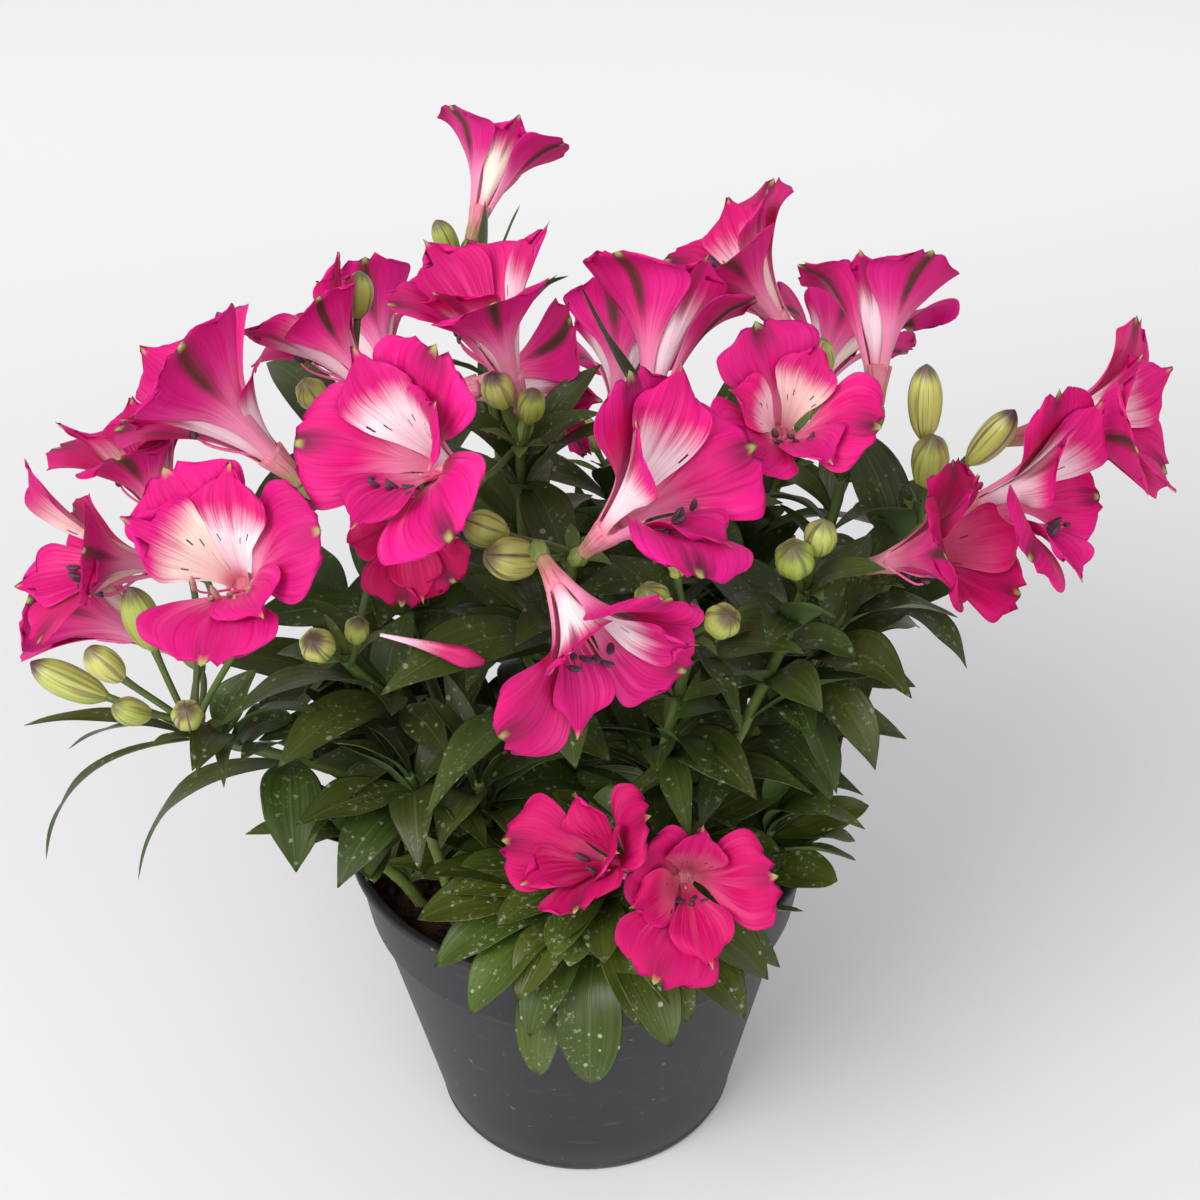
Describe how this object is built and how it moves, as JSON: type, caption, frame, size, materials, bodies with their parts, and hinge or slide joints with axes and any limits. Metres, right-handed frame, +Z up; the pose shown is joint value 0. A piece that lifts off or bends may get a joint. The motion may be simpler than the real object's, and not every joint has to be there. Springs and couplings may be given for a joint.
{
  "type": "potted peruvian lily",
  "caption": "Flowering Peruvian lily plant with leafy stems, pink blooms, buds and a low leaf rosette, standing in a round plastic nursery pot of soil.",
  "frame": {"origin": "middle of the flat underside of the pot", "axes": "+Z up, the plant grows along it; -Y is the front, where the low rosette hangs over the pot's rim"},
  "size_m": [0.3867, 0.3311, 0.375],
  "materials": {
    "pot": "matte, moulded, faintly scuffed",
    "soil": "rough, crumbly, fibrous",
    "leaf": "satin, with parallel veins and pale dried spots",
    "tepal": "soft satin, finely veined"
  },
  "bodies": {
    "root": {"bloom_back": "tepal", "bloom_back_left": "tepal", "bloom_back_right": "tepal", "bloom_centre_left": "tepal", "bloom_centre_right": "tepal", "bloom_far_left": "tepal", "bloom_far_left_low": "tepal", "bloom_far_left_upper": "tepal", "bloom_far_right": "tepal", "bloom_far_right_front": "tepal", "bloom_left_back": "tepal", "bloom_left_front": "tepal", "bloom_left_low": "tepal", "bloom_left_upper": "tepal", "bloom_middle_back": "tepal", "bloom_middle_right": "tepal", "bloom_middle_tall": "tepal", "bloom_middle_upper": "tepal", "bloom_nodding": "tepal", "bloom_right_back": "tepal", "bloom_right_low": "tepal", "bloom_right_upper": "tepal", "bloom_rosette_left": "tepal", "bloom_rosette_right": "tepal", "bloom_top": "tepal", "pot": "pot", "shoot_back": "leaf", "shoot_front_left": "leaf", "shoot_front_right": "leaf", "shoot_left": "leaf", "shoot_rim_left": "leaf", "shoot_rim_right": "leaf", "shoot_side_left": "leaf", "shoot_side_right": "leaf", "soil": "soil", "stem_back": "leaf", "stem_back_left": "leaf", "stem_back_right": "leaf", "stem_far_right": "leaf", "stem_front": "leaf", "stem_front_right": "leaf", "stem_left": "leaf", "stem_left_back": "leaf", "stem_left_short": "leaf", "stem_mid_right": "leaf", "stem_middle": "leaf", "stem_right": "leaf", "stem_right_bud": "leaf", "stem_rosette": "leaf", "stem_tall": "leaf", "stem_top": "leaf"}
  },
  "joints": []
}
